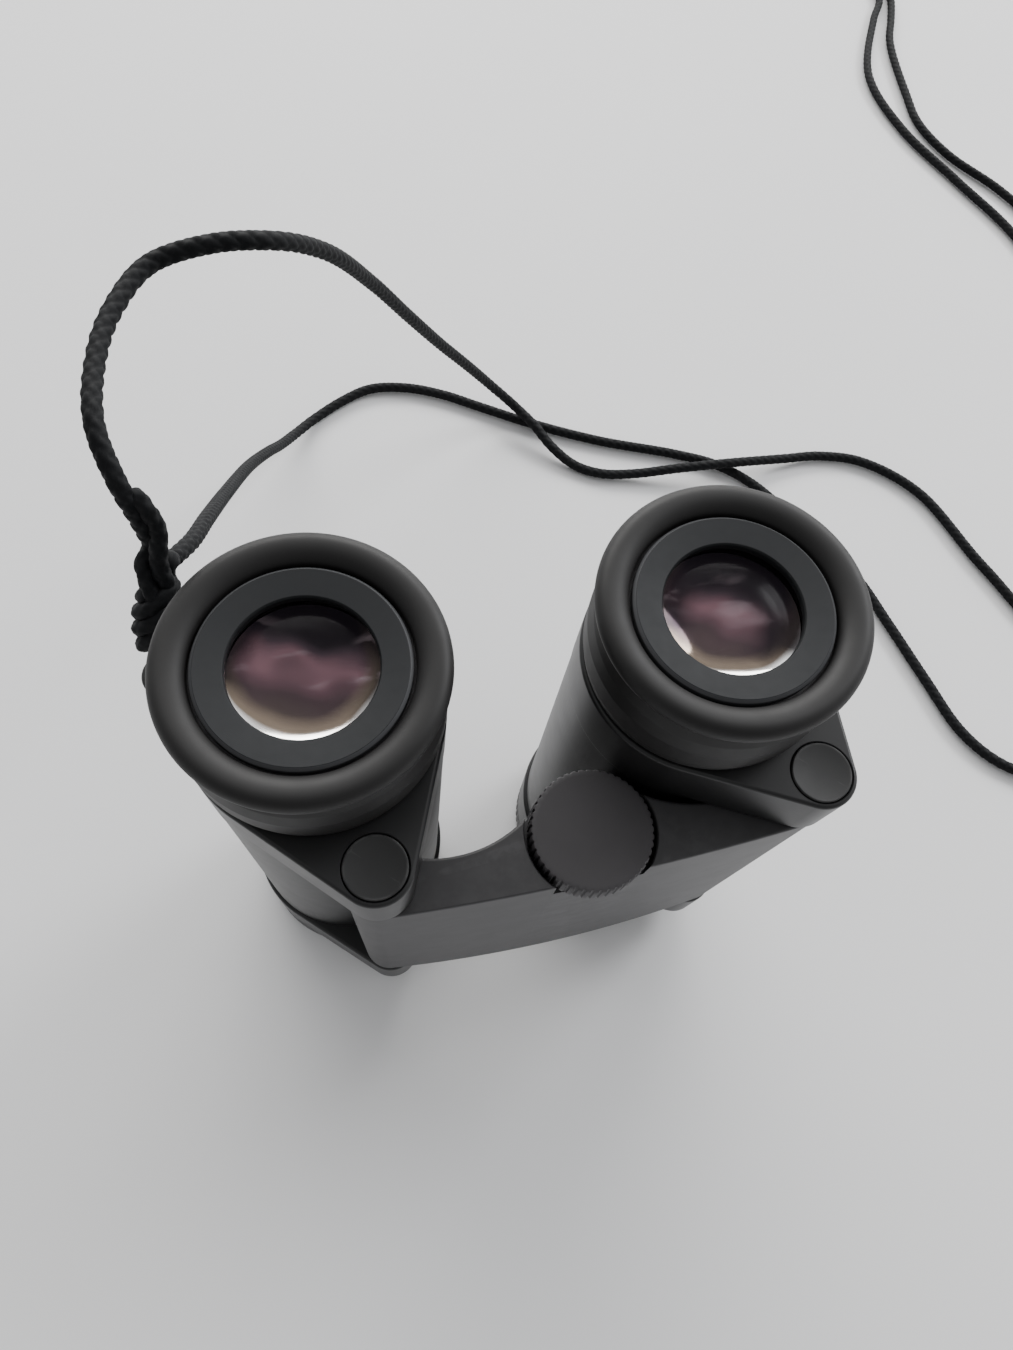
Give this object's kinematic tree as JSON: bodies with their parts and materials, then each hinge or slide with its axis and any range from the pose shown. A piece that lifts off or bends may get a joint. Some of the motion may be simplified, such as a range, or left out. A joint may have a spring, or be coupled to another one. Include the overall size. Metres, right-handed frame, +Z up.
{
  "type": "pocket binoculars",
  "caption": "Pocket binoculars: two straight barrels hinged at both ends of a bridge with a focusing wheel, folded rubber eyecups, and a braided neck cord tied to a side eyelet.",
  "frame": {"origin": "on the floor, in the middle of the footprint of everything but the neck cord", "axes": "+Z up along the barrels towards the eyepieces; +Y from the bridge's front face towards the barrels; +X from the left barrel, which carries the cord, to the right one"},
  "size_m": [0.235, 0.2698, 0.1022],
  "materials": {
    "barrel_enamel": "satin black enamel over aluminium",
    "matte_enamel": "fine matte black enamel",
    "black_anodised": "matte black anodised",
    "eyecup_rubber": "smooth soft black rubber",
    "optical_glass": "polished, with a faint purple coating",
    "brass": "machined",
    "steel": "machined",
    "braided_cord": "round braided polyester cord"
  },
  "bodies": {
    "left_barrel": {"barrel_housing_left": "barrel_enamel", "eyepiece_tube_left": "black_anodised", "bezel_ring_left": "black_anodised", "eye_lens_left": "optical_glass", "eyecup_left": "eyecup_rubber", "ocular_spacer_left": "black_anodised", "field_lens_left": "optical_glass", "prism_cage_left": "black_anodised", "half_penta_prism_left": "optical_glass", "roof_prism_left": "optical_glass", "objective_cell_left": "black_anodised", "objective_lens_left": "optical_glass", "objective_retainer_left": "black_anodised", "objective_rim_left": "barrel_enamel", "hinge_cap_upper_left": "matte_enamel", "hinge_cap_lower_left": "matte_enamel", "strap_eyelet": "barrel_enamel", "cord_knot": "braided_cord", "cord_eyelet_loop": "braided_cord", "neck_cord_first_strand": "braided_cord", "neck_cord_second_strand": "braided_cord", "cord_end_knot": "braided_cord"},
    "bridge": {"bridge_body": "matte_enamel", "bridge_bottom_cover": "matte_enamel", "cover_screw_1": "steel", "cover_screw_2": "steel", "spindle_bush": "brass", "hinge_pin_upper_left": "steel", "hinge_washer_upper_left": "brass", "hinge_pin_lower_left": "steel", "hinge_washer_lower_left": "brass", "hinge_pin_upper_right": "steel", "hinge_washer_upper_right": "brass", "hinge_pin_lower_right": "steel", "hinge_washer_lower_right": "brass"},
    "right_barrel": {"barrel_housing_right": "barrel_enamel", "eyepiece_tube_right": "black_anodised", "bezel_ring_right": "black_anodised", "eye_lens_right": "optical_glass", "eyecup_right": "eyecup_rubber", "ocular_spacer_right": "black_anodised", "field_lens_right": "optical_glass", "prism_cage_right": "black_anodised", "half_penta_prism_right": "optical_glass", "roof_prism_right": "optical_glass", "hinge_cap_upper_right": "matte_enamel", "hinge_cap_lower_right": "matte_enamel"},
    "focus_wheel": {"focus_knob": "matte_enamel", "focus_spindle": "steel"},
    "focus_carriage": {"focus_carriage": "brass"},
    "left_focus_cell": {"focus_cell_left": "black_anodised", "focus_lens_left": "optical_glass"},
    "right_focus_cell": {"focus_cell_right": "black_anodised", "focus_lens_right": "optical_glass"},
    "dioptre_ring": {"dioptre_ring_right": "barrel_enamel"},
    "right_objective_cell": {"objective_cell_right": "black_anodised", "objective_lens_right": "optical_glass", "objective_retainer_right": "black_anodised"}
  },
  "joints": [
    {"name": "left_hinge", "type": "hinge", "parent": "left_barrel", "child": "bridge", "pos_m": [-0.01783, -0.01398, 0.04], "axis": [0, 0, 1], "range_deg": [-23, 40.5]},
    {"name": "right_hinge", "type": "hinge", "parent": "bridge", "child": "right_barrel", "pos_m": [0.03463, -0.01398, 0.04], "axis": [0, 0, 1], "range_deg": [-62, 1.4]},
    {"name": "focus_carriage_slide", "type": "slide", "parent": "bridge", "child": "focus_carriage", "axis": [0, 0, 1], "range_m": [-0.003, 0.003]},
    {"name": "focus_turn", "type": "hinge", "parent": "bridge", "child": "focus_wheel", "pos_m": [0.0084, -0.01316, 0.0678], "axis": [0, 0, 1], "range_deg": [-172, 172]},
    {"name": "left_focus_slide", "type": "slide", "parent": "left_barrel", "child": "left_focus_cell", "axis": [0, 0, 1], "range_m": [-0.0012, 0.0012]},
    {"name": "right_focus_slide", "type": "slide", "parent": "right_barrel", "child": "right_focus_cell", "axis": [0, 0, 1], "range_m": [-0.0012, 0.0012]},
    {"name": "right_objective_slide", "type": "slide", "parent": "right_barrel", "child": "right_objective_cell", "axis": [0, 0, 1], "range_m": [-0.00025, 0.00025]},
    {"name": "dioptre_turn", "type": "hinge", "parent": "right_barrel", "child": "dioptre_ring", "pos_m": [0.02528, 0.00309, 0.0024], "axis": [0, 0, 1], "range_deg": [-36, 36]}
  ],
  "couplings": [
    {"joint": "focus_turn", "follows": "focus_carriage_slide", "rad_per_m": 1000},
    {"joint": "left_focus_slide", "follows": "focus_carriage_slide", "ratio": 0.4},
    {"joint": "right_focus_slide", "follows": "focus_carriage_slide", "ratio": 0.4},
    {"joint": "dioptre_turn", "follows": "right_objective_slide", "rad_per_m": 2500}
  ]
}
